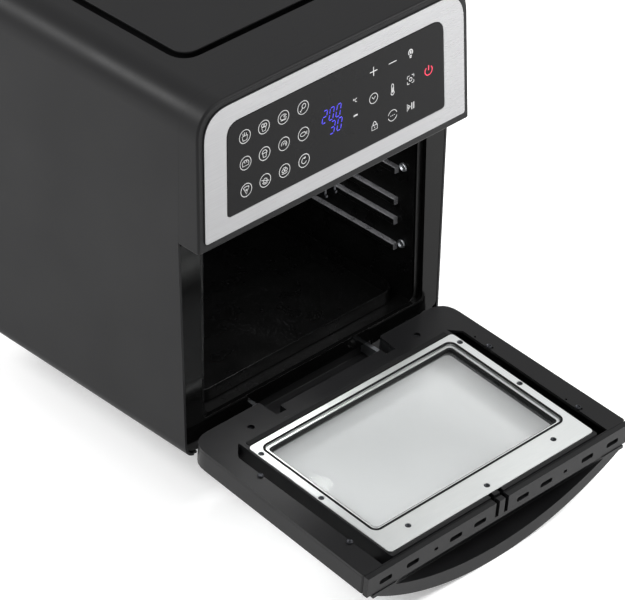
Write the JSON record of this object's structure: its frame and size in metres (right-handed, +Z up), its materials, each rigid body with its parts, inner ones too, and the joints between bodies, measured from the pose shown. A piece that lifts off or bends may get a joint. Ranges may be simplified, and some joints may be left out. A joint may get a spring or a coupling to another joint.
{
  "type": "air fryer oven",
  "caption": "Box-shaped black air-fryer oven, touch-control head over the cavity, glazed drop-down door hanging open on two low hinges.",
  "frame": {"origin": "under the middle of the whole outline with the door open, at the lowest point, which is the handle's bow", "axes": "+Z up, +Y from the open door towards the back of the oven, +X to the right of someone facing the front"},
  "size_m": [0.3064, 0.5298, 0.4061],
  "materials": {
    "shell_plastic": "fine-textured moulded black plastic",
    "gloss_plastic": "high-gloss black moulded plastic",
    "door_plastic": "satin moulded black plastic",
    "brushed_silver": "brushed silver trim",
    "bare_steel": "smooth stainless sheet",
    "cavity_steel": "dark non-stick coated sheet",
    "black_glass": "black printed touch glass",
    "clear_glass": "clear tempered glass",
    "rubber": "black silicone rubber",
    "circuit_board": "green circuit board",
    "plain_metal": "plain galvanised sheet",
    "dark_part": "dark moulded or painted inner part"
  },
  "bodies": {
    "oven": {"outer_shell": "shell_plastic", "head_fascia": "shell_plastic", "top_vent_plate": "shell_plastic", "rear_cover": "shell_plastic", "front_frame": "gloss_plastic", "control_bezel": "brushed_silver", "hinge_pin_left": "bare_steel", "hinge_pin_right": "bare_steel", "thermostat_probe": "bare_steel", "cavity_flange": "cavity_steel", "cavity_left_wall": "cavity_steel", "cavity_right_wall": "cavity_steel", "cavity_ceiling": "cavity_steel", "cavity_floor": "cavity_steel", "cavity_back_wall": "cavity_steel", "drip_tray": "cavity_steel", "control_glass": "black_glass", "lamp_lens": "clear_glass", "cord_gland": "rubber", "foot_front_left": "rubber", "foot_front_right": "rubber", "foot_back_left": "rubber", "foot_back_right": "rubber", "control_board": "circuit_board", "power_board": "circuit_board", "heater_housing": "plain_metal", "heater_housing_lid": "plain_metal", "heater_guard": "plain_metal", "motor_bracket": "plain_metal", "hinge_arm_left": "plain_metal", "hinge_arm_right": "plain_metal", "latch_tongue_left": "plain_metal", "latch_tongue_right": "plain_metal", "top_vent_tray": "dark_part", "display_module": "dark_part", "heater_coil": "dark_part", "fan_motor": "dark_part", "lamp_holder": "dark_part", "rotisserie_motor": "dark_part", "base_pan": "dark_part"},
    "door": {"door_outer_shell": "door_plastic", "door_inner_cover": "door_plastic", "door_edge_strip": "door_plastic", "door_window_frame": "door_plastic", "door_handle": "door_plastic", "door_plate": "bare_steel", "door_glass_frame": "bare_steel", "door_outer_glass": "clear_glass", "door_inner_glass": "clear_glass", "door_seal": "rubber"},
    "fan": {"fan_shaft": "bare_steel", "hot_air_fan": "plain_metal", "cooling_fan": "dark_part"},
    "rotisserie_drive": {"rotisserie_socket": "plain_metal"}
  },
  "joints": [
    {"name": "door_hinge", "type": "hinge", "parent": "oven", "child": "door", "pos_m": [0, -0.06024, 0.06498], "axis": [-1, 0, 0], "range_deg": [0, 94.74]},
    {"name": "fan_spin", "type": "hinge", "parent": "oven", "child": "fan", "pos_m": [0, 0.08386, 0.33408], "axis": [0, 0, 1], "continuous": true},
    {"name": "rotisserie_drive_spin", "type": "hinge", "parent": "oven", "child": "rotisserie_drive", "pos_m": [-0.12, 0.08386, 0.17008], "axis": [1, 0, 0], "continuous": true}
  ]
}
